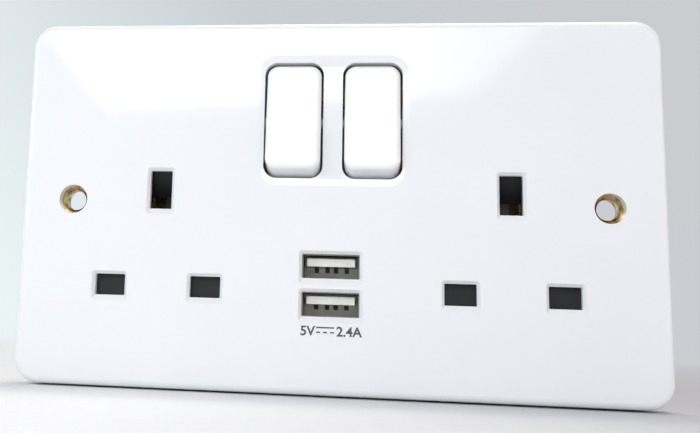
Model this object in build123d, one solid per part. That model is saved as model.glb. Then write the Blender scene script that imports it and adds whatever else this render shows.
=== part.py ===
from build123d import *
import os

# Twin switched socket outlet with two USB charging ports, in millimetres.
# X runs right, Z runs up and +Y runs into the wall. The origin lies midway between the two
# fixing holes, at the depth of the eyelets' barrels. Outlines are drawn in X and Z.

# Front plate
plate_width = 146.0
plate_height = 86.0
plate_depth = 9.0
origin_depth = 4.0
plate_corner = 6.2
plate_wall = 2.2
face_wall = 2.4
side_draft = 3.5
edge_round = 1.6

# Fixing holes and their eyelets
fixing_spacing = 120.6
fixing_bore = 3.35
eyelet_hole = 2.35
eyelet_wall = 0.45
eyelet_recess = 2.4
eyelet_cone = 0.55
eyelet_barrel = 2.4
eyelet_flange = 4.4
boss_wall = 1.4

# Outlets: standard pins, their apertures and lead-ins
outlet_spacing = 79.1
pin_row_z = -19.6
pin_half_pitch = 11.1
earth_rise = 22.2
earth_pin_length = 22.73
line_aperture = (7.0, 4.8)
earth_aperture = (5.1, 8.9)
aperture_corner = 0.25
mouth_corner = 0.7
lead_in_side = 0.65
lead_in_top = 0.7
lead_in_foot = 1.35
lead_in_depth = 0.9
pin_tip_gap = 0.4

# Shutters
shutter_travel = 5.2
shutter_thickness = 2.2
shutter_overlap = 0.45
shutter_side = 0.3
shutter_lean = 0.55
stem_width = 9.2
ramp_width = 6.4
ramp_depth = 3.8
ramp_low = 1.4
stem_top = 9.5
slide_gap = 0.25
rail_width = 1.2
shutter_spring_length = 11.6
shutter_spring_radius = 0.95
spring_wire = 0.4
spring_pitch = 2.0

# Contact covers
cover_thickness = 1.6
cover_half_width = 17.1
cover_low_z = -26.4
cover_high_z = 23.4

# Rockers, set to off
rocker_spacing = 18.0
rocker_z = 19.3
rocker_width = 12.6
rocker_length = 24.6
rocker_end_taper = 1.2
rocker_corner = 2.6
rocker_edge = 1.1
rocker_proud = 1.2
rocker_pivot_depth = 4.4
rocker_skirt = 1.4
rocker_wall = 1.5
rocker_tilt = 7.0
rocker_gap = 0.5
rocker_end_gap = 1.3
opening_corner = 3.0
trunnion_radius = 1.25
trunnion_length = 1.4
trunnion_clearance = 0.05
cheek_width = 2.0
cheek_length = 26.0

# Dished surround of the rockers
dish_margin = 1.7
dish_depth = 0.5
dish_slope = 2.6
dish_sections = 4

# Snap mechanism
leg_radius = 2.9
leg_length = 7.0
plunger_radius = 1.9
plunger_clearance = 0.1
plunger_nose = 1.2
plunger_guide = 6.0
plunger_start = 2.4
plunger_stroke = 0.5
contact_tilt = 10.0
contact_arm = 7.5
contact_width = 6.0
contact_end = 1.5
pivot_bead = 0.9
pivot_height = 2.6
contact_tip = 1.5
tip_thickness = 0.6
fixed_contact_height = 0.4
nose_gap = 0.1
cradle_lug = 4.0

# Brass strips and clips
strip_thickness = 0.8
strip_width = 5.0
strip_bend = 1.5
strip_fit = 0.3
leaf_thickness = 0.7
clip_width = 5.6
clip_pad = (8.0, 9.0)
clip_grip = 3.5
clip_mouth = 5.2
clip_root = 4.8
clip_setback = 3.1
clip_lead = 3.0
earth_clip_height = 6.4
earth_clip_length = 12.0
earth_pad = (13.0, 14.0)
earth_band = 6.0
line_strip_z = 11.0
line_riser_x = 22.5
outer_riser_x = 48.0
neutral_strip_z = -29.5
supply_strip_z = 29.2

# Terminals
terminal_z = 23.0
neutral_terminal_x = -45.0
left_earth_terminal_x = -30.0
line_terminal_x = 28.0
right_earth_terminal_x = 45.0
terminal_width = 8.0
terminal_height = 12.0
terminal_depth = 9.0
wire_hole = 2.3
wire_hole_depth = 3.4
terminal_screw = 1.7
terminal_head = 2.7
terminal_head_height = 2.0
screw_backed_out = 0.4
screw_clearance = 0.3
screw_slot = 0.7

# Rear housing
housing_half_width = 57.0
housing_half_height = 35.4
housing_corner = 4.0
housing_wall = 1.6
housing_floor = 1.6
lug_notch = 7.2
chamber_wall = 1.2
chamber_margin = 1.4
partition = 1.2
wire_notch = 7.0
screw_post = 3.6
screw_well = 2.9
screw_seat = 1.8
housing_screw = 1.3
screw_head = 2.5
screw_head_height = 1.7
screw_engagement = 3.4
corner_screw = (53.2, 30.6)
middle_screw = (18.2, -6.0)

# USB charger module
usb_pitch = 8.5
usb_mid_z = -18.4
usb_aperture = (12.9, 5.5)
usb_shell = (13.2, 5.8)
usb_shell_wall = 0.35
usb_shell_gap = 0.3
usb_corner = 0.6
usb_tongue = (10.8, 1.75)
usb_tongue_rise = 0.95
usb_tongue_setback = 0.7
usb_block_depth = 3.6
usb_contact_xs = (-3.5, -1.0, 1.0, 3.5)
usb_contact_width = 1.05
usb_contact_thickness = 0.25
usb_pocket_height = 1.1
usb_shell_length = 12.4
board_width = 26.4
board_low_z = -26.2
board_high_z = -8.2
board_thickness = 1.6
board_gap = 0.3
transformer_size = (12.0, 10.5)
transformer_height = 9.0
transformer_x = -5.2
winding_margin = 1.4
core_leg = 2.4
capacitor_radius = 2.9
capacitor_height = 8.6
capacitor_x = 7.4
capacitor_pitch = 6.4
chip_size = (5.0, 3.9)
chip_height = 1.5
module_cover_wall = 1.4
module_cover_gap = 0.3
vent_count = 5
vent_width = 1.6
vent_pitch = 4.2

# Depths that follow from the sizes above
face_y = -origin_depth
wall_y = face_y + plate_depth
wall_back_y = face_y + face_wall
shutter_front_y = wall_back_y + slide_gap
shutter_back_y = shutter_front_y + shutter_thickness
cover_front_y = shutter_back_y + slide_gap
cover_back_y = cover_front_y + cover_thickness
strap_back_y = cover_back_y + strip_thickness
floor_y = face_y + earth_pin_length + pin_tip_gap
rear_y = floor_y + housing_floor
strip_front_y = floor_y - strip_thickness
rocker_pivot_y = face_y + rocker_pivot_depth
contact_pivot_y = strip_front_y - pivot_height
clip_front_y = cover_back_y + clip_setback
usb_front_y = wall_back_y + usb_shell_gap
board_front_y = usb_front_y + usb_shell_length
board_back_y = board_front_y + board_thickness
block_front_y = strip_front_y - terminal_depth
wire_y = block_front_y + wire_hole_depth
screw_tip_y = wire_y + wire_hole + screw_clearance
cover_inner_y = board_back_y + transformer_height + board_gap

# Places that follow from the sizes above
earth_z = pin_row_z + earth_rise
outlet_xs = (-outlet_spacing / 2, outlet_spacing / 2)
fixing_xs = (-fixing_spacing / 2, fixing_spacing / 2)
rocker_xs = (-rocker_spacing / 2, rocker_spacing / 2)
usb_zs = (usb_mid_z + usb_pitch / 2, usb_mid_z - usb_pitch / 2)
neutral_xs = (outlet_xs[0] - pin_half_pitch, outlet_xs[1] - pin_half_pitch)
line_xs = (outlet_xs[0] + pin_half_pitch, outlet_xs[1] + pin_half_pitch)
rocker_opening = (rocker_width + 2 * rocker_gap, rocker_length + 2 * rocker_end_gap)
rail_x = pin_half_pitch + line_aperture[0] / 2 + shutter_side + slide_gap
spring_stop_z = stem_top + shutter_spring_length
screw_places = [(sx * corner_screw[0], sz * corner_screw[1]) for sx in (-1, 1) for sz in (-1, 1)]
screw_places += [(sx * middle_screw[0], middle_screw[1]) for sx in (-1, 1)]
terminal_xs = (neutral_terminal_x, left_earth_terminal_x, line_terminal_x, right_earth_terminal_x)


def slab(outline, front, back):
    """Plate with an outline in X and Z, between two depths."""
    return extrude(Plane.XZ.offset(-back) * outline, amount=back - front, dir=(0, -1, 0))


def along_x(profile, start, end):
    """Bar with a profile in Y and Z, between two places on X."""
    return extrude(Plane.YZ.offset(start) * profile, amount=end - start, dir=(1, 0, 0))


def along_z(profile, low, high):
    """Bar with a profile in X and Y, between two heights."""
    return extrude(Plane.XY.offset(low) * profile, amount=high - low, dir=(0, 0, 1))


def rod(x, z, radius, front, back):
    """Round rod along the depth."""
    return slab(Pos(x, z) * Circle(radius), front, back)


def cross_rod(y, z, radius, start, end):
    """Round rod along X."""
    return along_x(Pos(y, z) * Circle(radius), start, end)


def box(x0, x1, front, back, z0, z1):
    """Block between two places on each axis."""
    return slab(Pos((x0 + x1) / 2, (z0 + z1) / 2) * Rectangle(x1 - x0, z1 - z0), front, back)


def solid_of(shape):
    """The single solid of a finished piece."""
    return shape.solids().sort_by(SortBy.VOLUME)[-1]


def aperture(x, z, size):
    """Cutter for a rectangular mouth with a bevelled lead-in at the face, widest at its foot."""
    inner = Pos(x, z) * RectangleRounded(*size, aperture_corner)
    mouth_size = (size[0] + 2 * lead_in_side, size[1] + lead_in_top + lead_in_foot)
    mouth = Pos(x, z + (lead_in_top - lead_in_foot) / 2) * RectangleRounded(*mouth_size, mouth_corner)
    bevel = loft([Plane.XZ.offset(-face_y) * mouth, Plane.XZ.offset(-face_y - lead_in_depth) * inner])
    return slab(inner, face_y, wall_back_y) + bevel


def dish():
    """Cutter for the shallow hollow round both rockers: its slope rolls in softly and then deepens.

    The bowl's rim is tangent to the face, so its skin is closed by a lid in front of the face, which
    leaves the cut clean at any size of plate.
    """
    width = rocker_spacing + rocker_opening[0] + 2 * dish_margin
    height = rocker_opening[1] + 2 * dish_margin
    corner = opening_corner + dish_margin
    rim = Pos(0, rocker_z) * RectangleRounded(width, height, corner)
    lid = slab(rim, face_y - dish_depth, face_y)
    sections = []
    for step in range(dish_sections):
        share = step / (dish_sections - 1)
        inset = dish_slope * share
        size = (width - 2 * inset, height - 2 * inset)
        outline = Pos(0, rocker_z) * RectangleRounded(*size, corner - inset / 2)
        sections.append(Plane.XZ.offset(-face_y - dish_depth * share ** 2) * outline)
    bowl = loft(sections)
    skin = lid.faces().sort_by(Axis.Y)[:-1] + bowl.faces().sort_by(Axis.Y)[1:]
    return Solid(Shell(skin))


def trunnion_slots():
    """Cutter for the rocker bearings, round in front and open to the rear."""
    radius = trunnion_radius + trunnion_clearance
    reach = rocker_xs[1] + rocker_opening[0] / 2 + 2 * cheek_width
    bearing = cross_rod(rocker_pivot_y, rocker_z, radius, -reach, reach)
    way_in = box(-reach, reach, rocker_pivot_y, cover_back_y, rocker_z - radius, rocker_z + radius)
    return bearing + way_in


def bearing_cheeks():
    """Ribs beside the rocker openings that carry the trunnions."""
    low, high = rocker_z - cheek_length / 2, rocker_z + cheek_length / 2
    outer = rocker_xs[1] + rocker_opening[0] / 2
    inner = rocker_xs[1] - rocker_opening[0] / 2
    cheeks = box(-inner, inner, wall_back_y, cover_back_y, low, high)
    for side in (-1, 1):
        edges = sorted((side * outer, side * (outer + cheek_width)))
        cheeks += box(*edges, wall_back_y, cover_back_y, low, high)
    return cheeks - trunnion_slots()


def front_plate():
    """Moulded plate: drafted shell, soft edges, apertures, bosses and ribs."""
    rim = RectangleRounded(plate_width, plate_height, plate_corner)
    plate = extrude(Plane.XZ.offset(-wall_y) * rim, amount=plate_depth, taper=side_draft)
    plate = fillet(plate.faces().sort_by(Axis.Y)[0].edges(), edge_round)
    hollow_size = (plate_width - 2 * plate_wall, plate_height - 2 * plate_wall)
    hollow = RectangleRounded(*hollow_size, plate_corner - plate_wall)
    plate -= extrude(Plane.XZ.offset(-wall_y) * hollow, amount=plate_depth - face_wall, taper=side_draft)
    for x in fixing_xs:
        plate += rod(x, 0, fixing_bore + boss_wall, wall_back_y, cover_back_y)
    for x, z in screw_places:
        plate += rod(x, z, screw_head, wall_back_y, cover_back_y)
    for x in outlet_xs:
        for side in (-1, 1):
            edges = sorted((x + side * rail_x, x + side * (rail_x + rail_width)))
            plate += box(*edges, wall_back_y, cover_front_y, cover_low_z, pin_row_z + earth_rise / 2)
        stop_edges = (x - stem_width / 2, x + stem_width / 2)
        plate += box(*stop_edges, wall_back_y, cover_front_y, spring_stop_z, cover_high_z)
    plate += bearing_cheeks()
    plate -= dish()
    for x in rocker_xs:
        opening = Pos(x, rocker_z) * RectangleRounded(*rocker_opening, opening_corner)
        plate -= slab(opening, face_y, wall_back_y)
    for x in fixing_xs:
        plate -= rod(x, 0, fixing_bore, face_y, cover_back_y)
        plate -= rod(x, 0, fixing_bore + boss_wall + strip_fit, cover_back_y, wall_y)
    for x, z in screw_places:
        plate -= rod(x, z, housing_screw, cover_back_y - screw_engagement, cover_back_y)
    for x in outlet_xs:
        plate -= aperture(x, earth_z, earth_aperture)
        for side in (-1, 1):
            plate -= aperture(x + side * pin_half_pitch, pin_row_z, line_aperture)
    for z in usb_zs:
        plate -= aperture(0, z, usb_aperture)
    return plate


def eyelet(x):
    """Turned brass eyelet: funnel and barrel for the screw, tube through plate and strap, rear flange."""
    bore = fixing_bore - eyelet_wall
    front_y = face_y + eyelet_recess
    barrel_y = front_y + eyelet_cone
    back_y = barrel_y + eyelet_barrel
    flange_y = strap_back_y + eyelet_wall
    tube = [(bore, front_y), (fixing_bore, front_y), (fixing_bore, strap_back_y)]
    flange = [(eyelet_flange, strap_back_y), (eyelet_flange, flange_y), (bore, flange_y)]
    barrel = [(bore, back_y), (eyelet_hole, back_y), (eyelet_hole, barrel_y)]
    return Pos(x, 0, 0) * revolve(Polygon(*tube, *flange, *barrel, align=None), Axis.Y)


def rocker(x):
    """Hollow rocker with trunnions and a tubular leg, tilted to off."""
    front = -rocker_pivot_depth - rocker_proud
    half = rocker_length / 2
    root = half + rocker_end_taper
    side = Polygon((front, -half), (rocker_skirt, -root), (rocker_skirt, root), (front, half), align=None)
    body = along_x(side, -rocker_width / 2, rocker_width / 2)
    corners = [edge for edge in body.edges() if abs((edge % 0.5).Y) > 0.9]
    body = fillet(corners, rocker_corner)
    body = fillet(body.faces().sort_by(Axis.Y)[0].edges(), rocker_edge)
    inside_size = (rocker_width - 2 * rocker_wall, rocker_length - 2 * rocker_wall)
    inside = RectangleRounded(*inside_size, rocker_corner - rocker_wall)
    body -= slab(inside, front + rocker_wall, rocker_skirt)
    body += rod(0, 0, leg_radius, front + rocker_wall, leg_length)
    body -= rod(0, 0, plunger_radius + plunger_clearance, front + rocker_wall, leg_length)
    for side in (-1, 1):
        edges = sorted((side * (rocker_width / 2 - rocker_wall), side * (rocker_width / 2 + trunnion_length)))
        body += cross_rod(0, 0, trunnion_radius, *edges)
    return set_rocker(body, x)


def set_rocker(piece, x):
    """Move a piece drawn about the rocker's pivot to its place, tilted to off."""
    return Pos(x, rocker_pivot_y, rocker_z) * Rot(-rocker_tilt, 0, 0) * piece


def plunger(x):
    """Turned plunger with a rounded nose, sliding in the rocker's leg."""
    nose_y = contact_pivot_y - pivot_bead - nose_gap - rocker_pivot_y
    guide_end = plunger_start + plunger_guide
    profile = Polyline((0, plunger_start), (plunger_radius, plunger_start), (plunger_radius, guide_end))
    nose_start = (plunger_nose, nose_y - plunger_nose)
    profile += Polyline((plunger_radius, guide_end), (plunger_nose, guide_end), nose_start)
    profile += RadiusArc(nose_start, (0, nose_y), -plunger_nose)
    profile += Line((0, nose_y), (0, plunger_start))
    return set_rocker(revolve(make_face(profile), Axis.Y), x)


def coil(length, radius):
    """Compression spring along Z from the origin, with square-drawn wire."""
    path = Helix(spring_pitch, length - spring_wire, radius)
    section = Plane(path @ 0, x_dir=(0, 0, 1), z_dir=path % 0) * Rectangle(spring_wire, spring_wire)
    return Pos(0, 0, spring_wire / 2) * sweep(section, path, is_frenet=True)


def plunger_spring(x):
    """Spring between the rocker's inside and its plunger."""
    seat = -rocker_pivot_depth - rocker_proud + rocker_wall
    length = plunger_start - plunger_stroke - seat
    radius = plunger_radius - spring_wire
    return set_rocker(Pos(0, seat, 0) * Rot(-90, 0, 0) * coil(length, radius), x)


def moving_contact(x):
    """Seesaw contact with a rolled pivot bead and a silvered tip, tilted to open."""
    reach = contact_arm + contact_end
    tip_front = strip_thickness - pivot_bead
    blade = box(-contact_width / 2, contact_width / 2, -pivot_bead, tip_front, -reach, reach)
    half_bead = contact_width / 2 + strip_fit + strip_thickness
    blade += cross_rod(0, 0, pivot_bead, -half_bead, half_bead)
    blade += rod(0, contact_arm, contact_tip, tip_front, tip_front + tip_thickness)
    return Pos(x, contact_pivot_y, rocker_z) * Rot(contact_tilt, 0, 0) * blade


def flat_strip(points, width):
    """Outline of a stamped strip along a centre line, with round turns and ends."""
    outline = Sketch()
    for start, end in zip(points, points[1:]):
        leg = Vector(*end) - Vector(*start)
        middle = (Vector(*end) + Vector(*start)) / 2
        angle = Vector(1, 0).get_signed_angle(leg)
        outline += Pos(middle) * Rot(0, 0, angle) * SlotCenterToCenter(leg.length, width)
    return outline


def leaf_profile(points, offset_vector):
    """Profile of a spring leaf: a bent line and the same line one thickness away."""
    far_side = [Vector(*point) + Vector(*offset_vector) for point in points]
    return Polygon(*points, *reversed(far_side), align=None)


def clip_pad_outline(x):
    """Pad of a strip that carries a line or neutral clip."""
    return Pos(x, pin_row_z) * Rectangle(*clip_pad)


def pin_clip(x):
    """Two spring leaves above and below a line or neutral pin, rooted in the strip."""
    leaves = Part()
    for side in (-1, 1):
        root_z = pin_row_z + side * clip_root / 2
        grip_z = pin_row_z + side * clip_grip / 2
        mouth_z = pin_row_z + side * clip_mouth / 2
        points = [
            (strip_front_y, root_z),
            (strip_front_y - strip_bend, root_z),
            (clip_front_y + clip_lead, grip_z),
            (clip_front_y, mouth_z),
        ]
        leaf = leaf_profile(points, (0, side * leaf_thickness))
        leaves += along_x(leaf, x - clip_width / 2, x + clip_width / 2)
    return leaves


def line_outline(side):
    """Flat outline of a line contact: clip pad, riser and switch pad."""
    index = (side + 1) // 2
    riser_x = -line_riser_x if side < 0 else outer_riser_x
    switch_x = rocker_xs[index]
    pad_x = line_xs[index]
    points = [(riser_x, pin_row_z), (riser_x, line_strip_z), (switch_x, line_strip_z), (switch_x, rocker_z)]
    joint = Pos((riser_x + pad_x) / 2, pin_row_z) * Rectangle(abs(riser_x - pad_x) + strip_width, strip_width)
    cradle_width = contact_width + 2 * (strip_fit + strip_thickness)
    switch_pad = Pos(switch_x, rocker_z) * Rectangle(cradle_width, cradle_lug)
    return flat_strip(points, strip_width) + joint + clip_pad_outline(pad_x) + switch_pad


def line_contact(side):
    """Brass stamping from the switch cradle to the line clip of one outlet."""
    index = (side + 1) // 2
    x = rocker_xs[index]
    piece = slab(line_outline(side), strip_front_y, floor_y) + pin_clip(line_xs[index])
    low, high = rocker_z - cradle_lug / 2, rocker_z + cradle_lug / 2
    for lug_side in (-1, 1):
        inner = contact_width / 2 + strip_fit
        edges = sorted((x + lug_side * inner, x + lug_side * (inner + strip_thickness)))
        piece += box(*edges, contact_pivot_y, strip_front_y, low, high)
    reach = contact_width / 2 + strip_fit + 2 * strip_thickness
    return piece - cross_rod(contact_pivot_y, rocker_z, pivot_bead + trunnion_clearance, x - reach, x + reach)


def screw_hole(x):
    """Cutter for a terminal screw's way through a strip."""
    return rod(x, terminal_z, terminal_screw + screw_clearance, strip_front_y, floor_y)


def supply_outline():
    """Flat outline of the supply busbar: both fixed contacts and the terminal end."""
    corner = (line_terminal_x, supply_strip_z)
    outline = flat_strip([(rocker_xs[0], supply_strip_z), corner, (line_terminal_x, terminal_z)], strip_width)
    for x in rocker_xs:
        outline += Pos(x, rocker_z + contact_arm) * Rectangle(contact_width, strip_width)
        outline += Pos(x, supply_strip_z) * Rectangle(contact_width, strip_width)
    return outline + Pos(line_terminal_x, terminal_z) * Rectangle(terminal_width, strip_width)


def supply_busbar():
    """Brass stamping from the line terminal to both fixed switch contacts."""
    piece = slab(supply_outline(), strip_front_y, floor_y)
    tip_y = strip_front_y - fixed_contact_height
    for x in rocker_xs:
        piece += rod(x, rocker_z + contact_arm, contact_tip, tip_y, strip_front_y)
    return piece - screw_hole(line_terminal_x)


def neutral_outline():
    """Flat outline of the neutral busbar: round the bottom, then up to its terminal."""
    start = (neutral_xs[1], pin_row_z)
    corners = [(neutral_xs[1], neutral_strip_z), (-outer_riser_x, neutral_strip_z)]
    outline = flat_strip([start, *corners, (-outer_riser_x, terminal_z)], strip_width)
    for x in neutral_xs:
        outline += clip_pad_outline(x)
    return outline + Pos(neutral_terminal_x, terminal_z) * Rectangle(terminal_width, strip_width)


def neutral_busbar():
    """Brass stamping that joins both neutral clips and the neutral terminal."""
    piece = slab(neutral_outline(), strip_front_y, floor_y)
    for x in neutral_xs:
        piece += pin_clip(x)
    return piece - screw_hole(neutral_terminal_x)


def earth_outline():
    """Flat outline of the earth strap: ring ends, band, clip pads and terminal tails."""
    bend_x = fixing_xs[1] - lug_notch
    band_x = outlet_xs[1] + earth_pad[0] / 2
    left = [(fixing_xs[0], 0), (-bend_x, 0), (-band_x, earth_z)]
    right = [(-x, z) for x, z in reversed(left)]
    points = left + right
    outline = flat_strip(points, earth_band)
    for x in fixing_xs:
        outline += Pos(x, 0) * Circle(fixing_bore + boss_wall)
    for x in outlet_xs:
        outline += Pos(x, earth_z) * RectangleRounded(*earth_pad, strip_bend)
    for x in (left_earth_terminal_x, right_earth_terminal_x):
        top = terminal_z + terminal_height / 2
        outline += Pos(x, (earth_z + top) / 2) * Rectangle(earth_band, top - earth_z)
    return outline


def earth_strap():
    """Brass stamping that joins both earth clips, both eyelets and both earth terminals."""
    piece = slab(earth_outline(), cover_back_y, strap_back_y)
    for x in fixing_xs:
        piece -= rod(x, 0, fixing_bore, cover_back_y, strap_back_y)
    for x in outlet_xs:
        piece -= slab(Pos(x, earth_z) * Rectangle(*earth_aperture), cover_back_y, strap_back_y)
        end_y = strap_back_y + earth_clip_length
        for side in (-1, 1):
            root_x = x + side * earth_aperture[0] / 2
            grip_x = x + side * clip_grip / 2
            points = [
                (root_x, strap_back_y),
                (root_x, strap_back_y + strip_bend),
                (grip_x, end_y - clip_lead),
                (root_x, end_y),
            ]
            leaf = leaf_profile(points, (side * leaf_thickness, 0))
            piece += along_z(leaf, earth_z - earth_clip_height / 2, earth_z + earth_clip_height / 2)
    return piece


def terminal_block(x, front):
    """Brass pillar terminal: wire hole from top to bottom and a tapped hole from the rear."""
    low, high = terminal_z - terminal_height / 2, terminal_z + terminal_height / 2
    block = box(x - terminal_width / 2, x + terminal_width / 2, front, strip_front_y, low, high)
    block -= along_z(Pos(x, wire_y) * Circle(wire_hole), low, high)
    return block - rod(x, terminal_z, terminal_screw, wire_y, strip_front_y)


def terminal_screws():
    """Slotted terminal screws, backed out clear of the wire holes."""
    screws = []
    head_y = rear_y - terminal_head_height + screw_backed_out
    for x in terminal_xs:
        screw = rod(x, terminal_z, terminal_screw, screw_tip_y, head_y)
        screw += rod(x, terminal_z, terminal_head, head_y, head_y + terminal_head_height)
        half_slot = screw_slot / 2
        slot_y = head_y + terminal_head_height / 2
        screw -= box(
            x - terminal_head, x + terminal_head, slot_y, head_y + terminal_head_height,
            terminal_z - half_slot, terminal_z + half_slot,
        )
        screws.append(solid_of(screw))
    return Compound(children=screws)


def contact_cover(x):
    """Deck behind a shutter, with the passages that guide the three pins."""
    height = cover_high_z - cover_low_z
    middle_z = (cover_high_z + cover_low_z) / 2
    outline = Pos(x, middle_z) * RectangleRounded(2 * cover_half_width, height, strip_bend)
    deck = slab(outline, cover_front_y, cover_back_y)
    passage = RectangleRounded(*line_aperture, aperture_corner)
    for side in (-1, 1):
        deck -= slab(Pos(x + side * pin_half_pitch, pin_row_z) * passage, cover_front_y, cover_back_y)
    low = earth_z - earth_aperture[1] / 2
    high = stem_top + shutter_travel + slide_gap
    half = ramp_width / 2 + slide_gap
    deck -= box(x - half, x + half, cover_front_y, cover_back_y, low, high)
    for fixing_x in fixing_xs:
        deck -= rod(fixing_x, 0, fixing_bore + boss_wall + strip_fit, cover_front_y, cover_back_y)
    return deck


def shutter(x):
    """Sliding shutter: bar across the line and neutral pins, stem and a ramp for the earth pin."""
    half = rail_x - slide_gap
    low = pin_row_z - line_aperture[1] / 2 - shutter_overlap
    high = pin_row_z + line_aperture[1] / 2 + shutter_overlap
    foot = half - shutter_lean
    bar = Polygon((-half, high), (-foot, low), (foot, low), (half, high), align=None)
    stem = Pos(0, (stem_top + high) / 2) * Rectangle(stem_width, stem_top - high)
    piece = slab(bar + stem, shutter_front_y, shutter_back_y)
    ramp_back_y = shutter_front_y + ramp_depth
    piece += box(-ramp_width / 2, ramp_width / 2, shutter_front_y, ramp_back_y, ramp_low, stem_top)
    pin_low = earth_z - earth_aperture[1] / 2
    window_low = pin_low - shutter_travel
    ramp_high = ramp_low + shutter_travel
    under_ramp = Polygon(
        (shutter_front_y, window_low), (ramp_back_y, window_low),
        (ramp_back_y, ramp_low), (shutter_front_y, ramp_high),
        align=None,
    )
    half_window = earth_aperture[0] / 2 + slide_gap
    piece -= along_x(under_ramp, -half_window, half_window)
    return Pos(x, 0, 0) * piece


def shutter_spring(x):
    """Return spring between the shutter's stem and its stop on the plate."""
    middle_y = (wall_back_y + cover_front_y) / 2
    return Pos(x, middle_y, stem_top) * coil(shutter_spring_length, shutter_spring_radius)


def housing_outline():
    """Outline of the rear housing, notched round the box's fixing lugs."""
    outline = RectangleRounded(2 * housing_half_width, 2 * housing_half_height, housing_corner)
    for x in fixing_xs:
        outline -= Pos(x, 0) * Circle(lug_notch)
    return outline


def ring(outline, wall):
    """Wall of a chamber round an outline."""
    return offset(outline, wall) - outline


def module_bay():
    """Inner outline of the bay that holds the charger module."""
    middle_z = (board_low_z + board_high_z) / 2
    height = board_high_z - board_low_z
    return Pos(0, middle_z) * Rectangle(board_width + 2 * board_gap, height + 2 * board_gap)


def switch_partitions():
    """Walls beside both switches, with keepers that hold the trunnions in their slots."""
    low, high = rocker_z - rocker_opening[1] / 2, housing_half_height - housing_wall
    outer = rocker_xs[1] + rocker_opening[0] / 2 + cheek_width / 2
    keeper_y = rocker_pivot_y + trunnion_radius + 2 * trunnion_clearance
    half_keeper = trunnion_radius - trunnion_clearance
    walls = Part()
    for x in (-outer, 0, outer):
        edges = (x - partition / 2, x + partition / 2)
        walls += box(*edges, cover_back_y, floor_y, low, high)
        walls += box(*edges, keeper_y, cover_back_y, rocker_z - half_keeper, rocker_z + half_keeper)
    return walls


def rear_housing():
    """Moulded rear body: floor, outer wall, chambers, partitions, posts and wire notches."""
    outline = housing_outline()
    body = slab(outline, cover_back_y, rear_y)
    body -= slab(offset(outline, -housing_wall), cover_back_y, floor_y)
    for x in line_xs + neutral_xs:
        chamber = Pos(x, pin_row_z) * Rectangle(clip_pad[0] + chamber_margin, clip_pad[1] + chamber_margin)
        body += slab(ring(chamber, chamber_wall), cover_back_y, floor_y)
    for x in outlet_xs:
        chamber = Pos(x, earth_z) * Rectangle(earth_pad[0] - chamber_margin, earth_pad[1] - chamber_margin)
        body += slab(ring(chamber, chamber_wall), strap_back_y, floor_y)
    body += switch_partitions()
    body += slab(ring(module_bay(), partition), strap_back_y, floor_y)
    for x, z in screw_places:
        body += rod(x, z, screw_post, cover_back_y, floor_y)
    for outline in (line_outline(-1), line_outline(1), supply_outline(), neutral_outline()):
        body -= slab(offset(outline, strip_fit), cover_back_y, floor_y)
    body -= slab(offset(earth_outline(), strip_fit), cover_back_y, strap_back_y)
    body -= slab(module_bay(), cover_back_y, rear_y)
    for x, z in screw_places:
        body -= rod(x, z, screw_well, cover_back_y + screw_seat, rear_y)
        body -= rod(x, z, housing_screw + screw_clearance, cover_back_y, rear_y)
    for x in terminal_xs:
        body -= rod(x, terminal_z, terminal_head + screw_clearance, floor_y, rear_y)
        edges = (x - wire_notch / 2, x + wire_notch / 2)
        body -= box(*edges, cover_back_y, floor_y, terminal_z, housing_half_height)
    return body


def housing_screws():
    """Pan-head screws that hold the housing to the plate."""
    screws = []
    seat_y = cover_back_y + screw_seat
    for x, z in screw_places:
        screw = rod(x, z, housing_screw, cover_back_y - screw_engagement, seat_y)
        screw += rod(x, z, screw_head, seat_y, seat_y + screw_head_height)
        screws.append(solid_of(screw))
    return Compound(children=screws)


def usb_shell_piece(z):
    """Folded steel shell of one USB port."""
    outer = Pos(0, z) * RectangleRounded(*usb_shell, usb_corner)
    inner = offset(outer, -usb_shell_wall)
    return slab(outer - inner, usb_front_y, board_front_y)


def usb_tongue_piece(z):
    """Insulator of one USB port: tongue with the contacts, and a rear block with their four pockets."""
    inner = (usb_shell[0] - 2 * usb_shell_wall, usb_shell[1] - 2 * usb_shell_wall)
    block_outline = Pos(0, z) * RectangleRounded(*inner, usb_corner - usb_shell_wall)
    block = slab(block_outline, board_front_y - usb_block_depth, board_front_y)
    tongue = Pos(0, z + usb_tongue_rise) * Rectangle(*usb_tongue)
    piece = block + slab(tongue, usb_front_y + usb_tongue_setback, board_front_y)
    for strip in usb_strips(z):
        piece -= strip
    under = z + usb_tongue_rise - usb_tongue[1] / 2
    for x in usb_contact_xs:
        edges = (x - usb_contact_width / 2, x + usb_contact_width / 2)
        piece -= box(*edges, board_front_y - usb_block_depth, board_front_y, under - usb_pocket_height, under)
    return piece


def usb_strips(z):
    """Contact strips let in flush with the underside of one USB tongue."""
    under = z + usb_tongue_rise - usb_tongue[1] / 2
    front = usb_front_y + 2 * usb_tongue_setback
    back = board_front_y - usb_block_depth
    strips = []
    for x in usb_contact_xs:
        edges = (x - usb_contact_width / 2, x + usb_contact_width / 2)
        strips.append(box(*edges, front, back, under, under + usb_contact_thickness))
    return strips


def usb_contacts(z):
    """The contact strips of one USB port as a group."""
    return Compound(children=[solid_of(strip) for strip in usb_strips(z)])


def usb_board():
    """Circuit board of the charger module."""
    middle_z = (board_low_z + board_high_z) / 2
    outline = Pos(0, middle_z) * RectangleRounded(board_width, board_high_z - board_low_z, aperture_corner)
    return slab(outline, board_front_y, board_back_y)


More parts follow.
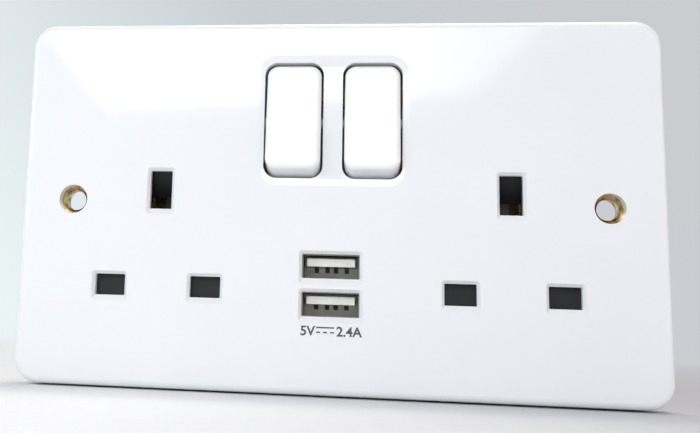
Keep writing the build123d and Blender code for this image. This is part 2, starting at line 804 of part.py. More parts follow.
def transformer_core():
    """Ferrite core: a frame with a middle leg."""
    middle_z = (board_low_z + board_high_z) / 2
    width, height = transformer_size
    frame = Rectangle(width, height)
    window = (width - 3 * core_leg) / 2
    for side in (-1, 1):
        frame -= Pos(side * (core_leg + window) / 2, 0) * Rectangle(window, height - 2 * core_leg)
    half = (transformer_height - 2 * winding_margin) / 2
    middle_y = board_back_y + transformer_height / 2
    return slab(Pos(transformer_x, middle_z) * frame, middle_y - half, middle_y + half)


def transformer_winding():
    """Taped winding round the core's middle leg."""
    middle_z = (board_low_z + board_high_z) / 2
    width, height = transformer_size
    window = (width - 3 * core_leg) / 2
    half_width = core_leg / 2 + window
    half_height = height / 2 - core_leg
    tape = along_z(
        Pos(transformer_x, board_back_y + transformer_height / 2)
        * RectangleRounded(2 * half_width, transformer_height, winding_margin / 2),
        middle_z - half_height, middle_z + half_height,
    )
    depth = transformer_height - 2 * winding_margin
    leg = box(
        transformer_x - core_leg / 2, transformer_x + core_leg / 2,
        board_back_y + winding_margin, board_back_y + winding_margin + depth,
        middle_z - half_height, middle_z + half_height,
    )
    return tape - leg


def capacitors():
    """Round capacitors that stand on the board."""
    middle_z = (board_low_z + board_high_z) / 2
    cans = []
    for side in (-1, 1):
        z = middle_z + side * capacitor_pitch / 2
        can = rod(capacitor_x, z, capacitor_radius, board_back_y, board_back_y + capacitor_height)
        cans.append(solid_of(can))
    return Compound(children=cans)


def charger_chip():
    """Controller chip between the ports' solder points, on the board's front."""
    z = board_high_z - chip_size[1]
    outline = Pos((board_width - chip_size[0]) / 2 - board_gap, z) * Rectangle(*chip_size)
    return slab(outline, board_front_y - chip_height, board_front_y)


def module_cover():
    """Vented cup that closes the module's bay from the rear."""
    inner = offset(module_bay(), -module_cover_gap)
    outer = offset(module_bay(), partition)
    middle_z = (board_low_z + board_high_z) / 2
    cover_rear_y = cover_inner_y + module_cover_wall
    cup = slab(outer, rear_y, cover_rear_y)
    cup += slab(inner, board_back_y + board_gap, rear_y)
    cup -= slab(offset(inner, -module_cover_wall), board_back_y + board_gap, cover_inner_y)
    for index in range(vent_count):
        x = (index - (vent_count - 1) / 2) * vent_pitch
        slot = Pos(x, middle_z) * Rot(0, 0, 90) * SlotOverall(transformer_size[1], vent_width)
        cup -= slab(slot, cover_inner_y, cover_rear_y)
    return cup


pieces = {
    "front_plate": front_plate(),
    "left_eyelet": eyelet(fixing_xs[0]),
    "right_eyelet": eyelet(fixing_xs[1]),
    "supply_busbar": supply_busbar(),
    "neutral_busbar": neutral_busbar(),
    "earth_strap": earth_strap(),
    "neutral_terminal": terminal_block(neutral_terminal_x, block_front_y),
    "line_terminal": terminal_block(line_terminal_x, block_front_y),
    "left_earth_terminal": terminal_block(left_earth_terminal_x, strap_back_y),
    "right_earth_terminal": terminal_block(right_earth_terminal_x, strap_back_y),
    "terminal_screws": terminal_screws(),
    "rear_housing": rear_housing(),
    "housing_screws": housing_screws(),
    "usb_board": usb_board(),
    "transformer_core": transformer_core(),
    "transformer_winding": transformer_winding(),
    "capacitors": capacitors(),
    "charger_chip": charger_chip(),
    "module_cover": module_cover(),
}
for index, name in enumerate(("left", "right")):
    pieces[f"{name}_rocker"] = rocker(rocker_xs[index])
    pieces[f"{name}_plunger"] = plunger(rocker_xs[index])
    pieces[f"{name}_plunger_spring"] = plunger_spring(rocker_xs[index])
    pieces[f"{name}_moving_contact"] = moving_contact(rocker_xs[index])
    pieces[f"{name}_line_contact"] = line_contact(2 * index - 1)
    pieces[f"{name}_contact_cover"] = contact_cover(outlet_xs[index])
    pieces[f"{name}_shutter"] = shutter(outlet_xs[index])
    pieces[f"{name}_shutter_spring"] = shutter_spring(outlet_xs[index])
for name, z in zip(("upper", "lower"), usb_zs):
    pieces[f"{name}_usb_shell"] = usb_shell_piece(z)
    pieces[f"{name}_usb_tongue"] = usb_tongue_piece(z)
    pieces[f"{name}_usb_contacts"] = usb_contacts(z)

os.makedirs("parts", exist_ok=True)
for name, piece in pieces.items():
    export_step(piece, f"parts/{name}.step")
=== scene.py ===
import math
import bpy
import bmesh
from mathutils import Matrix, Vector


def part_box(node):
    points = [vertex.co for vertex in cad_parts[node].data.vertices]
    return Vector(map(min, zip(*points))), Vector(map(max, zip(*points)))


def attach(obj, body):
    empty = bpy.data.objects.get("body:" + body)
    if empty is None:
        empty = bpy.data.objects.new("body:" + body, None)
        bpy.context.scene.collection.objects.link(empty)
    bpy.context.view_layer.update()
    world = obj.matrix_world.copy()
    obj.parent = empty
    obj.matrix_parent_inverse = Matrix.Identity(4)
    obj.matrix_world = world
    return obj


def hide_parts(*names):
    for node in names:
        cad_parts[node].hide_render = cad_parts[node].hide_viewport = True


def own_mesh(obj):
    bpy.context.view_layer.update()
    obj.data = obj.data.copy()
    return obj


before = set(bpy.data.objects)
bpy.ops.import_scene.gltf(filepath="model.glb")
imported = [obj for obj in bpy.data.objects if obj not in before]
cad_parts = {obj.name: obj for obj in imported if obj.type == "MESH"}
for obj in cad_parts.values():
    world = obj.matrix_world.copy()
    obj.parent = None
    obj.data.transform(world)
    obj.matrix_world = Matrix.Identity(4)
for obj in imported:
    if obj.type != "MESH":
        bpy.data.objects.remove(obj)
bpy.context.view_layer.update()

# Front plate: the face that the hand meets, moulded in one piece with its bosses.
# It is white urea, a hard thermoset pressed in a polished steel tool, and it carries
# every other piece from behind.
MM = 0.001


def to_linear(hex_colour):
    """Linear RGBA of an sRGB hex value."""
    channels = [int(hex_colour[i:i + 2], 16) / 255 for i in (1, 3, 5)]
    return [c / 12.92 if c <= 0.04045 else ((c + 0.055) / 1.055) ** 2.4 for c in channels] + [1.0]


def add_node(tree, kind, settings=None, links=None):
    """Adds a node, sets its properties or inputs, and links (node, output) pairs to its inputs."""
    node = tree.nodes.new(kind)
    for key, value in (settings or {}).items():
        if isinstance(key, str) and hasattr(node, key):
            setattr(node, key, value)
        else:
            node.inputs[key].default_value = value
    for key, (source, output) in (links or {}).items():
        tree.links.new(source.outputs[output], node.inputs[key])
    return node


def start_material(name, **values):
    """Material with its shader's constant sockets set; returns material, tree and shader."""
    material = bpy.data.materials.new(name)
    material.use_nodes = True
    shader = material.node_tree.nodes["Principled BSDF"]
    for key, value in values.items():
        shader.inputs[key.replace("_", " ").title().replace("Ior", "IOR")].default_value = value
    return material, material.node_tree, shader


def dress(material, *names):
    """Gives CAD nodes their material."""
    for name in names:
        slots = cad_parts[name].data.materials
        slots.clear()
        slots.append(material)


# Pressed urea is glossy but not a mirror: the tool's polish leaves a faint slow waviness,
# and the white has hardly visible cloudy patches from the filler.
urea, tree, shader = start_material("pressed_urea_gloss_white", ior=1.52)
place = add_node(tree, "ShaderNodeTexCoord")
cloud = add_node(
    tree, "ShaderNodeTexNoise", {"Scale": 1 / (22 * MM), "Detail": 2.0}, {"Vector": (place, "Object")}
)
tint = add_node(tree, "ShaderNodeValToRGB", None, {"Fac": (cloud, "Fac")})
tint.color_ramp.elements[0].color = to_linear("#ECEBEE")
tint.color_ramp.elements[1].color = to_linear("#F1F0F2")
tree.links.new(tint.outputs["Color"], shader.inputs["Base Color"])
polish = add_node(tree, "ShaderNodeMapRange", {"To Min": 0.045, "To Max": 0.07}, {"Value": (cloud, "Fac")})
tree.links.new(polish.outputs["Result"], shader.inputs["Roughness"])
wave = add_node(
    tree, "ShaderNodeTexNoise", {"Scale": 1 / (5 * MM), "Detail": 1.0}, {"Vector": (place, "Object")}
)
relief = add_node(
    tree, "ShaderNodeBump", {"Strength": 0.25, "Distance": 0.01 * MM}, {"Height": (wave, "Fac")}
)
tree.links.new(relief.outputs["Normal"], shader.inputs["Normal"])
dress(urea, "front_plate")

# Rockers: hollow urea mouldings on trunnions, pushed by hand. They share the plate's
# material and come from a better polished tool, so their gloss is a little finer; their white
# is painted a little brighter than the plate's, a painted highlight for the light their tilted faces catch.
rocker_urea_painted_bright, tree, shader = start_material("pressed_urea_rocker_painted_bright", ior=1.52)
place = add_node(tree, "ShaderNodeTexCoord")
cloud = add_node(
    tree, "ShaderNodeTexNoise", {"Scale": 1 / (9 * MM), "Detail": 2.0}, {"Vector": (place, "Object")}
)
tint = add_node(tree, "ShaderNodeValToRGB", None, {"Fac": (cloud, "Fac")})
# Lighter than the plate's white: a painted highlight.
tint.color_ramp.elements[0].color = to_linear("#F0F0F2")
tint.color_ramp.elements[1].color = to_linear("#F4F4F5")
tree.links.new(tint.outputs["Color"], shader.inputs["Base Color"])
polish = add_node(tree, "ShaderNodeMapRange", {"To Min": 0.04, "To Max": 0.065}, {"Value": (cloud, "Fac")})
tree.links.new(polish.outputs["Result"], shader.inputs["Roughness"])
dress(rocker_urea_painted_bright, "left_rocker", "right_rocker")

# Eyelets, strips, clips and terminals: brass, stamped or turned from the same half-hard
# stock. The eyelets are spun over in the plate; the strips lie in the housing's chambers.
# Handled brass is warm and satin, with browner patches where the lacquer-free skin has dulled.
brass, tree, shader = start_material("half_hard_brass_satin", metallic=1.0)
place = add_node(tree, "ShaderNodeTexCoord")
dull = add_node(
    tree, "ShaderNodeTexNoise", {"Scale": 1 / (1.6 * MM), "Detail": 4.0}, {"Vector": (place, "Object")}
)
tint = add_node(tree, "ShaderNodeValToRGB", None, {"Fac": (dull, "Fac")})
tint.color_ramp.elements[0].position = 0.35
tint.color_ramp.elements[0].color = to_linear("#7C653C")
tint.color_ramp.elements[1].position = 0.62
tint.color_ramp.elements[1].color = to_linear("#DDC48C")
tree.links.new(tint.outputs["Color"], shader.inputs["Base Color"])
satin = add_node(tree, "ShaderNodeMapRange", {"To Min": 0.34, "To Max": 0.16}, {"Value": (dull, "Fac")})
tree.links.new(satin.outputs["Result"], shader.inputs["Roughness"])
dress(
    brass, "left_eyelet", "right_eyelet", "supply_busbar", "neutral_busbar", "earth_strap",
    "left_line_contact", "right_line_contact", "left_moving_contact", "right_moving_contact",
    "neutral_terminal", "line_terminal", "left_earth_terminal", "right_earth_terminal",
)

# Shutters: thin black nylon slides behind the line and neutral mouths, moved by the earth pin.
# Moulded nylon straight from a sparked tool is a flat dark grey with a fine tooth, which is
# drawn coarser than life so that it shows.
shutter_nylon, tree, shader = start_material("moulded_nylon_black", roughness=0.5, ior=1.45)
place = add_node(tree, "ShaderNodeTexCoord")
tooth = add_node(
    tree, "ShaderNodeTexNoise", {"Scale": 1 / (0.4 * MM), "Detail": 2.0}, {"Vector": (place, "Object")}
)
tint = add_node(tree, "ShaderNodeValToRGB", None, {"Fac": (tooth, "Fac")})
tint.color_ramp.elements[0].color = to_linear("#0B0B0E")
tint.color_ramp.elements[1].color = to_linear("#131316")
tree.links.new(tint.outputs["Color"], shader.inputs["Base Color"])
relief = add_node(
    tree, "ShaderNodeBump", {"Strength": 0.4, "Distance": 0.03 * MM}, {"Height": (tooth, "Fac")}
)
tree.links.new(relief.outputs["Normal"], shader.inputs["Normal"])
dress(shutter_nylon, "left_shutter", "right_shutter")

# Rear housing, contact covers and module cover: white nylon mouldings behind the wall line,
# screwed or snapped to the plate. Their sparked tool gives an even satin with a fine grit,
# which is drawn coarser than life so that it shows.
housing_nylon, tree, shader = start_material("moulded_nylon_satin_white", ior=1.53)
place = add_node(tree, "ShaderNodeTexCoord")
grit = add_node(
    tree, "ShaderNodeTexNoise", {"Scale": 1 / (0.5 * MM), "Detail": 3.0}, {"Vector": (place, "Object")}
)
flow = add_node(
    tree, "ShaderNodeTexNoise", {"Scale": 1 / (16 * MM), "Detail": 2.0}, {"Vector": (place, "Object")}
)
tint = add_node(tree, "ShaderNodeValToRGB", None, {"Fac": (flow, "Fac")})
tint.color_ramp.elements[0].color = to_linear("#DEDDD8")
tint.color_ramp.elements[1].color = to_linear("#E8E7E3")
tree.links.new(tint.outputs["Color"], shader.inputs["Base Color"])
satin = add_node(tree, "ShaderNodeMapRange", {"To Min": 0.42, "To Max": 0.58}, {"Value": (grit, "Fac")})
tree.links.new(satin.outputs["Result"], shader.inputs["Roughness"])
relief = add_node(
    tree, "ShaderNodeBump", {"Strength": 0.35, "Distance": 0.03 * MM}, {"Height": (grit, "Fac")}
)
tree.links.new(relief.outputs["Normal"], shader.inputs["Normal"])
dress(housing_nylon, "rear_housing", "left_contact_cover", "right_contact_cover", "module_cover")

# Terminal marks: N, L and the sign for earth, raised in the housing's own mould below each
# terminal screw. They are the same satin nylon, so they show only by their edges.
mark_depth = 0.3 * MM
mark_height = 2.6 * MM
mark_foot = 16.4 * MM
mark_stroke_gain = 0.05 * MM
rear_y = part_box("rear_housing")[1].y


def lettering(name, word, cap_height, depth, stroke_gain, material):
    """Letters that stand in X and Z, with the given height, depth and gain of stroke."""
    curve = bpy.data.curves.new(name, "FONT")
    curve.body = word
    capital_share = 0.73  # of the font's size
    curve.size = cap_height / capital_share
    curve.extrude = depth / 2
    curve.offset = stroke_gain
    curve.materials.append(material)
    letters = bpy.data.objects.new(name, curve)
    bpy.context.scene.collection.objects.link(letters)
    letters.rotation_euler = (math.radians(90), 0, 0)
    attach(letters, "base")
    return letters


def sign_of_bars(name, bars, front, back, material):
    """Sign of straight bars, each given by its edges in X and Z, between two depths."""
    build = bmesh.new()
    for x0, x1, z0, z1 in bars:
        middle = Vector(((x0 + x1) / 2, (front + back) / 2, (z0 + z1) / 2))
        stretch = Matrix.Diagonal((x1 - x0, back - front, z1 - z0, 1))
        bmesh.ops.create_cube(build, size=1, matrix=Matrix.Translation(middle) @ stretch)
    mesh = bpy.data.meshes.new(name)
    build.to_mesh(mesh)
    build.free()
    mesh.materials.append(material)
    sign = bpy.data.objects.new(name, mesh)
    bpy.context.scene.collection.objects.link(sign)
    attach(sign, "base")


for name, word, x in (("mark_neutral", "N", -45 * MM), ("mark_line", "L", 28 * MM)):
    letter = lettering(
        name, word, mark_height, mark_depth, mark_stroke_gain, housing_nylon
    )
    letter.data.align_x = "CENTER"
    letter.location = (x, rear_y + mark_depth / 2, mark_foot)
    letter.rotation_euler.z = math.radians(180)
bar = 0.4 * MM
stem_rise = 1.6 * MM
cross_bars = ((1.4 * MM, 1.2 * MM), (0.9 * MM, 0.6 * MM), (0.4 * MM, 0.0))  # half width and rise
for name, x in (("mark_left_earth", -30 * MM), ("mark_right_earth", 45 * MM)):
    bars = [(x - bar / 2, x + bar / 2, mark_foot + stem_rise, mark_foot + mark_height)]
    for half, rise in cross_bars:
        bars.append((x - half, x + half, mark_foot + rise, mark_foot + rise + bar))
    sign_of_bars(name, bars, rear_y, rear_y + mark_depth, housing_nylon)

# Plungers: acetal pegs turned on a lathe, free to slide in the rockers' legs. Acetal is a milky
# white, and the turning tool leaves fine rings a quarter of a millimetre apart.
acetal, tree, shader = start_material("turned_acetal", roughness=0.35, ior=1.48)
place = add_node(tree, "ShaderNodeTexCoord")
wave_length = 2 * math.pi / 20  # a wave texture of scale 1 repeats after this length
rings = add_node(
    tree, "ShaderNodeTexWave", {"bands_direction": "Y", "Scale": wave_length / (0.25 * MM)},
    {"Vector": (place, "Object")},
)
tint = add_node(tree, "ShaderNodeValToRGB", None, {"Fac": (rings, "Fac")})
tint.color_ramp.elements[0].color = to_linear("#E2E0D6")
tint.color_ramp.elements[1].color = to_linear("#EAE8DF")
tree.links.new(tint.outputs["Color"], shader.inputs["Base Color"])
dress(acetal, "left_plunger", "right_plunger")

# Screws: zinc-plated steel, slotted heads for the wires and pan heads in the housing's wells.
# Bright zinc is a cool light grey with a faint cloudy bloom.
zinc, tree, shader = start_material("zinc_plated_steel", metallic=1.0)
place = add_node(tree, "ShaderNodeTexCoord")
bloom = add_node(
    tree, "ShaderNodeTexNoise", {"Scale": 1 / (1.2 * MM), "Detail": 3.0}, {"Vector": (place, "Object")}
)
tint = add_node(tree, "ShaderNodeValToRGB", None, {"Fac": (bloom, "Fac")})
tint.color_ramp.elements[0].color = to_linear("#A9ACB0")
tint.color_ramp.elements[1].color = to_linear("#CDD0D2")
tree.links.new(tint.outputs["Color"], shader.inputs["Base Color"])
satin = add_node(tree, "ShaderNodeMapRange", {"To Min": 0.4, "To Max": 0.24}, {"Value": (bloom, "Fac")})
tree.links.new(satin.outputs["Result"], shader.inputs["Roughness"])
dress(zinc, "terminal_screws", "housing_screws")

# Springs: carbon-steel wire, drawn and coiled cold, held by their own push between two pieces.
# Oiled steel is darker than the plated screws, and blotchy where the oil has gathered.
spring_steel, tree, shader = start_material("oiled_spring_steel", metallic=1.0, roughness=0.32)
place = add_node(tree, "ShaderNodeTexCoord")
draw = add_node(
    tree, "ShaderNodeTexNoise", {"Scale": 1 / (0.3 * MM), "Detail": 2.0}, {"Vector": (place, "Object")}
)
tint = add_node(tree, "ShaderNodeValToRGB", None, {"Fac": (draw, "Fac")})
tint.color_ramp.elements[0].color = to_linear("#6E7176")
tint.color_ramp.elements[1].color = to_linear("#9A9DA2")
tree.links.new(tint.outputs["Color"], shader.inputs["Base Color"])
dress(
    spring_steel, "left_plunger_spring", "right_plunger_spring", "left_shutter_spring", "right_shutter_spring"
)

# Shutter springs again: each coil stands between its shutter's stem and a stop on the plate, and
# closes up as the shutter rises. A copy of the same wire, on the base, stands in for it.
for side in ("left", "right"):
    spring = f"{side}_shutter_spring"
    coil = bpy.data.objects.new(f"{side}_shutter_coil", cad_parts[spring].data.copy())
    bpy.context.scene.collection.objects.link(coil)
    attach(coil, "base")
    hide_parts(spring)
    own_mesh(coil)

# USB shells: tinned steel strip folded into a box round each port and soldered to the board.
# Tin is a soft grey with rolling marks along the strip, brownish where flux has dried. The
# marks are drawn coarser than life so that they show.
tin, tree, shader = start_material("tinned_steel_shell", metallic=1.0)
place = add_node(tree, "ShaderNodeTexCoord")
stretch = add_node(
    tree, "ShaderNodeMapping", {"Scale": (1 / (0.15 * MM), 1 / (3 * MM), 1 / (0.15 * MM))},
    {"Vector": (place, "Object")},
)
rolled = add_node(tree, "ShaderNodeTexNoise", {"Scale": 1.0, "Detail": 2.0}, {"Vector": (stretch, "Vector")})
tint = add_node(tree, "ShaderNodeValToRGB", None, {"Fac": (rolled, "Fac")})
tint.color_ramp.elements[0].color = to_linear("#8A8378")
tint.color_ramp.elements[1].color = to_linear("#B3AEA4")
tree.links.new(tint.outputs["Color"], shader.inputs["Base Color"])
satin = add_node(tree, "ShaderNodeMapRange", {"To Min": 0.45, "To Max": 0.3}, {"Value": (rolled, "Fac")})
tree.links.new(satin.outputs["Result"], shader.inputs["Roughness"])
dress(tin, "upper_usb_shell", "lower_usb_shell")

# USB tongues: polyester insulators pushed into the shells from behind; off-white and matt,
# with the weld-line marbling of glass-filled polyester.
polyester, tree, shader = start_material("glass_filled_polyester", roughness=0.5, ior=1.55)
place = add_node(tree, "ShaderNodeTexCoord")
marble = add_node(
    tree, "ShaderNodeTexNoise", {"Scale": 1 / (1.5 * MM), "Detail": 3.0}, {"Vector": (place, "Object")}
)
tint = add_node(tree, "ShaderNodeValToRGB", None, {"Fac": (marble, "Fac")})
tint.color_ramp.elements[0].color = to_linear("#DAD9D1")
tint.color_ramp.elements[1].color = to_linear("#EBEAE4")
tree.links.new(tint.outputs["Color"], shader.inputs["Base Color"])
dress(polyester, "upper_usb_tongue", "lower_usb_tongue")

# USB contacts: copper-alloy strips under each tongue, gold flashed; a thin flash lets
# the darker metal below show in specks.
gold, tree, shader = start_material("gold_flashed_contacts", metallic=1.0, roughness=0.25)
place = add_node(tree, "ShaderNodeTexCoord")
specks = add_node(
    tree, "ShaderNodeTexNoise", {"Scale": 1 / (0.25 * MM), "Detail": 2.0}, {"Vector": (place, "Object")}
)
tint = add_node(tree, "ShaderNodeValToRGB", None, {"Fac": (specks, "Fac")})
tint.color_ramp.elements[0].color = to_linear("#8F6A2C")
tint.color_ramp.elements[1].color = to_linear("#D9B765")
tree.links.new(tint.outputs["Color"], shader.inputs["Base Color"])
dress(gold, "upper_usb_contacts", "lower_usb_contacts")

# Charger board: glass-epoxy board with green solder resist; copper runs show through
# the resist as lighter bands, about a millimetre apart.
resist, tree, shader = start_material("green_solder_resist", roughness=0.3, ior=1.55)
place = add_node(tree, "ShaderNodeTexCoord")
runs = add_node(
    tree, "ShaderNodeTexBrick",
    {"Scale": 1.0, "Color1": to_linear("#1D5A39"), "Color2": to_linear("#256B45"),
     "Mortar": to_linear("#123F27"),
     "Mortar Size": 0.12 * MM, "Brick Width": 4 * MM, "Row Height": 1 * MM},
)
turn = add_node(
    tree, "ShaderNodeMapping", {"Rotation": (math.radians(90), 0, 0)}, {"Vector": (place, "Object")}
)
tree.links.new(turn.outputs["Vector"], runs.inputs["Vector"])
tree.links.new(runs.outputs["Color"], shader.inputs["Base Color"])
dress(resist, "usb_board")

# Transformer core: two pressed and sintered ferrite halves, glued together round the winding.
# Ferrite is charcoal grey and matt, with grains drawn coarser than life so that they show.
ferrite, tree, shader = start_material("sintered_ferrite", roughness=0.6)
place = add_node(tree, "ShaderNodeTexCoord")
grain = add_node(
    tree, "ShaderNodeTexNoise", {"Scale": 1 / (0.3 * MM), "Detail": 3.0}, {"Vector": (place, "Object")}
)
tint = add_node(tree, "ShaderNodeValToRGB", None, {"Fac": (grain, "Fac")})
tint.color_ramp.elements[0].color = to_linear("#262628")
tint.color_ramp.elements[1].color = to_linear("#3C3C3E")
tree.links.new(tint.outputs["Color"], shader.inputs["Base Color"])
dress(ferrite, "transformer_core")

# Transformer winding: copper wire under yellow polyester tape, whose turns overlap
# in bands about a millimetre wide.
tape, tree, shader = start_material("yellow_polyester_tape", roughness=0.3)
place = add_node(tree, "ShaderNodeTexCoord")
laps = add_node(
    tree, "ShaderNodeTexWave", {"bands_direction": "Z", "Scale": wave_length / (1.0 * MM)},
    {"Vector": (place, "Object")},
)
tint = add_node(tree, "ShaderNodeValToRGB", None, {"Fac": (laps, "Fac")})
tint.color_ramp.elements[0].color = to_linear("#C79A2C")
tint.color_ramp.elements[1].color = to_linear("#DDB84A")
tree.links.new(tint.outputs["Color"], shader.inputs["Base Color"])
dress(tape, "transformer_winding")

# Capacitors: aluminium cans in shrink sleeve, standing on the board; the sleeve is
# blue-black with a slight ripple where it shrank.
sleeve, tree, shader = start_material("shrink_sleeve_blue_black", roughness=0.35)
place = add_node(tree, "ShaderNodeTexCoord")
ripple = add_node(
    tree, "ShaderNodeTexNoise", {"Scale": 1 / (1.0 * MM), "Detail": 2.0}, {"Vector": (place, "Object")}
)
tint = add_node(tree, "ShaderNodeValToRGB", None, {"Fac": (ripple, "Fac")})
tint.color_ramp.elements[0].color = to_linear("#171C26")
tint.color_ramp.elements[1].color = to_linear("#252D3B")
tree.links.new(tint.outputs["Color"], shader.inputs["Base Color"])
dress(sleeve, "capacitors")

# Controller chip: epoxy package soldered to the board's front. Its mould leaves it matt black,
# with a frosting that is drawn coarser than life so that it shows.
epoxy, tree, shader = start_material("moulded_epoxy_black", roughness=0.6)
place = add_node(tree, "ShaderNodeTexCoord")
frost = add_node(
    tree, "ShaderNodeTexNoise", {"Scale": 1 / (0.15 * MM), "Detail": 2.0}, {"Vector": (place, "Object")}
)
tint = add_node(tree, "ShaderNodeValToRGB", None, {"Fac": (frost, "Fac")})
tint.color_ramp.elements[0].color = to_linear("#1B1B1D")
tint.color_ramp.elements[1].color = to_linear("#2A2A2C")
tree.links.new(tint.outputs["Color"], shader.inputs["Base Color"])
dress(epoxy, "charger_chip")

# Rating print: the supply voltage, the sign for direct current and the current, pad printed
# in grey ink under the ports. The ink is a thin film, patchy where the pad lifted.
face_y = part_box("front_plate")[0].y
ink_film = 0.02 * MM
print_z = -29.5 * MM
cap_height = 2.15 * MM
stroke_gain = 0.07 * MM
ink, tree, shader = start_material("pad_print_ink_grey", roughness=0.45)
place = add_node(tree, "ShaderNodeTexCoord")
patch = add_node(
    tree, "ShaderNodeTexNoise", {"Scale": 1 / (0.5 * MM), "Detail": 2.0}, {"Vector": (place, "Object")}
)
tint = add_node(tree, "ShaderNodeValToRGB", None, {"Fac": (patch, "Fac")})
tint.color_ramp.elements[0].color = to_linear("#47474B")
tint.color_ramp.elements[1].color = to_linear("#5C5C61")
tree.links.new(tint.outputs["Color"], shader.inputs["Base Color"])
for name, word, x in (("print_voltage", "5V", -6.55 * MM), ("print_current", "2.4A", 1.45 * MM)):
    letters = lettering(name, word, cap_height, ink_film, stroke_gain, ink)
    letters.location = (x, face_y - ink_film / 2, print_z)
line_rise, dash_rise, dash_length, bar_height = 1.6 * MM, 0.55 * MM, 0.9 * MM, 0.33 * MM
line_start, line_end = -3.0 * MM, 0.98 * MM
bars = [(line_start, line_end, print_z + line_rise, print_z + line_rise + bar_height)]
for start in (line_start, -1.48 * MM, 0.08 * MM):
    bars.append((start, start + dash_length, print_z + dash_rise, print_z + dash_rise + bar_height))
sign_of_bars("print_direct_current", bars, face_y - ink_film, face_y, ink)

# Studio: a pale sheet under the plate's lower edge and a bright surround, so the
# white plate shows by its shadow, its soft edges and the ceiling panel it mirrors. The
# surround carries painted shade, greyer to the right and above, and far from the plate the
# sheet, seen directly, glows with that painted tone instead of showing its own light.
def painted_surround_shade(tree, source, output):
    """Painted shade of the surround in a direction: bright at the lower left, greyer to the right and above.
    """
    split = add_node(tree, "ShaderNodeSeparateXYZ", None, {"Vector": (source, output)})
    slope = add_node(
        tree, "ShaderNodeMath", {"operation": "MULTIPLY_ADD", 1: 0.6}, {0: (split, "Z"), 2: (split, "X")}
    )
    shade_across = add_node(
        tree, "ShaderNodeMapRange", {"From Min": -0.32, "From Max": 0.4}, {"Value": (slope, "Value")}
    )
    tone = add_node(tree, "ShaderNodeValToRGB", None, {"Fac": (shade_across, "Result")})
    tone.color_ramp.elements[0].color = to_linear("#EBF4F5")
    tone.color_ramp.elements[1].color = to_linear("#CBCCD0")
    middle = tone.color_ramp.elements.new(0.55)
    middle.color = to_linear("#C8CFD5")
    return tone


def seen_directly(tree):
    """One for rays that show the surround itself: from the camera, a reflection or glass."""
    ray = add_node(tree, "ShaderNodeLightPath")
    seen = add_node(
        tree, "ShaderNodeMath", {"operation": "ADD"}, {0: (ray, "Is Camera Ray"), 1: (ray, "Is Glossy Ray")}
    )
    return add_node(
        tree, "ShaderNodeMath", {"operation": "ADD"}, {0: (seen, "Value"), 1: (ray, "Is Transmission Ray")}
    )


floor_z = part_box("front_plate")[0].z
sheet = bpy.data.meshes.new("studio_floor")
reach = 4.0
rim = [(-reach, -reach), (reach, -reach), (reach, reach), (-reach, reach)]
sheet.from_pydata([(x, y, floor_z) for x, y in rim], [], [(0, 1, 2, 3)])
floor = bpy.data.objects.new("studio_floor", sheet)
bpy.context.scene.collection.objects.link(floor)
paper, tree, shader = start_material("studio_paper_pale_painted_shade", roughness=0.9)
place = add_node(tree, "ShaderNodeTexCoord")
fibre = add_node(
    tree, "ShaderNodeTexNoise", {"Scale": 1 / (1.5 * MM), "Detail": 3.0}, {"Vector": (place, "Object")}
)
# The paper is painted darker towards the right, a painted shade for light that falls from the left; the fibre
# noise is its own grain.
where = add_node(tree, "ShaderNodeSeparateXYZ", None, {"Vector": (place, "Object")})
shade_across = add_node(
    tree, "ShaderNodeMapRange", {"From Min": -40 * MM, "From Max": 110 * MM}, {"Value": (where, "X")}
)
tone = add_node(
    tree, "ShaderNodeMath", {"operation": "MULTIPLY_ADD", 1: 0.2}, {0: (fibre, "Fac"), 2: (shade_across, "Result")}
)
tint = add_node(tree, "ShaderNodeValToRGB", None, {"Fac": (tone, "Value")})
tint.color_ramp.elements[0].color = to_linear("#EEEFEF")
tint.color_ramp.elements[1].color = to_linear("#B7B8BB")
tree.links.new(tint.outputs["Color"], shader.inputs["Base Color"])
# Far from the plate, for rays that see it directly, the sheet glows with the surround's painted shade instead
# of its lit paper.
away = add_node(tree, "ShaderNodeVectorMath", {"operation": "LENGTH"}, {0: (place, "Object")})
fade_start, fade_end = 120 * MM, 500 * MM
far = add_node(
    tree, "ShaderNodeMapRange",
    {"interpolation_type": "SMOOTHSTEP", "From Min": fade_start, "From Max": fade_end},
    {"Value": (away, "Value")},
)
share = add_node(
    tree, "ShaderNodeMath", {"operation": "MULTIPLY"}, {0: (far, "Result"), 1: (seen_directly(tree), "Value")}
)
heading = add_node(tree, "ShaderNodeVectorMath", {"operation": "NORMALIZE"}, {0: (place, "Object")})
far_glow = add_node(
    tree, "ShaderNodeEmission", None, {"Color": (painted_surround_shade(tree, heading, "Vector"), "Color")}
)
mix = add_node(
    tree, "ShaderNodeMixShader", None, {"Fac": (share, "Value"), 1: (shader, "BSDF"), 2: (far_glow, "Emission")}
)
tree.links.new(mix.outputs["Shader"], tree.nodes["Material Output"].inputs["Surface"])
sheet.materials.append(paper)

# World: an even glow that lights the scene; rays that see the surround directly get its painted shade.
world = bpy.data.worlds.new("studio_surround")
bpy.context.scene.world = world
world.use_nodes = True
tree = world.node_tree
tree.nodes.clear()
sky = add_node(tree, "ShaderNodeTexCoord")
glow = add_node(tree, "ShaderNodeBackground", {"Color": to_linear("#FAF5FA"), "Strength": 0.52})
backdrop = add_node(
    tree, "ShaderNodeBackground", None, {"Color": (painted_surround_shade(tree, sky, "Generated"), "Color")}
)
either = add_node(
    tree, "ShaderNodeMixShader", None,
    {"Fac": (seen_directly(tree), "Value"), 1: (glow, "Background"), 2: (backdrop, "Background")},
)
add_node(tree, "ShaderNodeOutputWorld", None, {"Surface": (either, "Shader")})


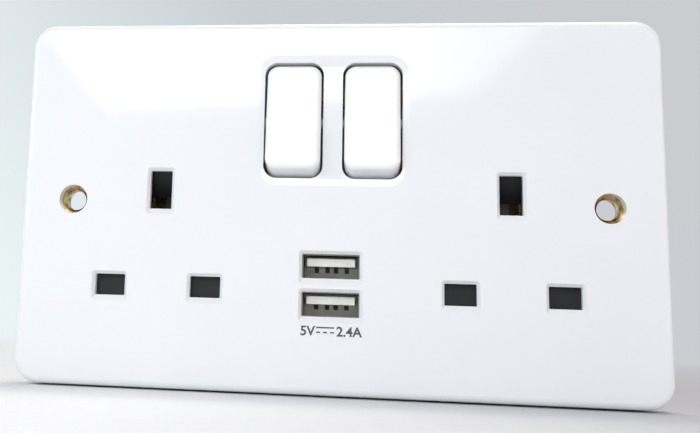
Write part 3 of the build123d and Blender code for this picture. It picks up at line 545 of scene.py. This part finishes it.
def soft_lamp(name, place_mm, aim_mm, size_mm, watts, colour):
    """Rectangular lamp aimed at a point, not seen by the camera itself."""
    lamp = bpy.data.lights.new(name, "AREA")
    lamp.shape = "RECTANGLE"
    lamp.size, lamp.size_y = (side * MM for side in size_mm)
    lamp.energy = watts
    lamp.color = to_linear(colour)[:3]
    holder = bpy.data.objects.new(name, lamp)
    bpy.context.scene.collection.objects.link(holder)
    holder.location = [v * MM for v in place_mm]
    aim = Vector(aim_mm) - Vector(place_mm)
    holder.rotation_euler = aim.to_track_quat("-Z", "Y").to_euler()
    holder.visible_camera = False
    return holder


# Ceiling panel: a lit diffuser sheet in front of the plate and above it, there for its mirror
# image in the gloss. It falls off at its right end.
panel_height = 300 * MM
panel_rim = [(-400, -1330), (172, -1215), (239, -480), (-325, -480)]
panel = bpy.data.meshes.new("ceiling_panel")
panel.from_pydata([(x * MM, y * MM, panel_height) for x, y in panel_rim], [], [(0, 1, 2, 3)])
ceiling = bpy.data.objects.new("ceiling_panel", panel)
bpy.context.scene.collection.objects.link(ceiling)
ceiling.visible_camera = False
diffuser, tree, shader = start_material("lit_diffuser_sheet", base_color=to_linear("#000000"))
shader.inputs["Emission Color"].default_value = to_linear("#FFFFFF")
place = add_node(tree, "ShaderNodeTexCoord")
split = add_node(tree, "ShaderNodeSeparateXYZ", None, {"Vector": (place, "Object")})
fall = add_node(
    tree, "ShaderNodeMapRange",
    {"From Min": 60 * MM, "From Max": 240 * MM, "To Min": 4.0, "To Max": 1.65}, {"Value": (split, "X")},
)
tree.links.new(fall.outputs["Result"], shader.inputs["Emission Strength"])
panel.materials.append(diffuser)

# Lamps: a cool one at the left, one above and behind that lays the shadow in front of the
# plate, one at the right, and a low fill for the plate's foot that the gloss doesn't mirror.
soft_lamp("left_lamp", (-620, -520, 250), (0, 0, 0), (400, 400), 1.6, "#CFF0F8")
soft_lamp("rear_lamp", (100, 215, 1000), (20, -40, -43), (560, 330), 5.2, "#FFFAF6")
soft_lamp("right_lamp", (560, -260, 60), (40, 0, 0), (300, 300), 0.6, "#FFF8F6")
fill = soft_lamp("front_fill", (0, -420, -10), (0, 0, -30), (300, 40), 0.11, "#F0F8F8")
fill.visible_glossy = False

# Camera: in front of the lower middle of the plate, a hand's length away, looking
# slightly up and to the left.
eye = bpy.data.cameras.new("photo_camera")
eye.lens = 51.429
eye.sensor_width = 36.0
eye.shift_x = 0.2
eye.shift_y = -0.1
eye.clip_start = 0.005
camera = bpy.data.objects.new("photo_camera", eye)
bpy.context.scene.collection.objects.link(camera)
ahead = Vector((-0.14584, 0.97491, 0.16817)).normalized()
upward = Vector((-0.01038, -0.17149, 0.98513))
right = ahead.cross(upward).normalized()
upward = right.cross(ahead)
turn = Matrix((right, upward, -ahead)).transposed().to_4x4()
eye_place = Vector((5.66, -230.86, -26.33)) * MM
camera.matrix_world = Matrix.Translation(eye_place) @ turn
bpy.context.scene.camera = camera
bpy.context.scene.view_settings.view_transform = "Standard"
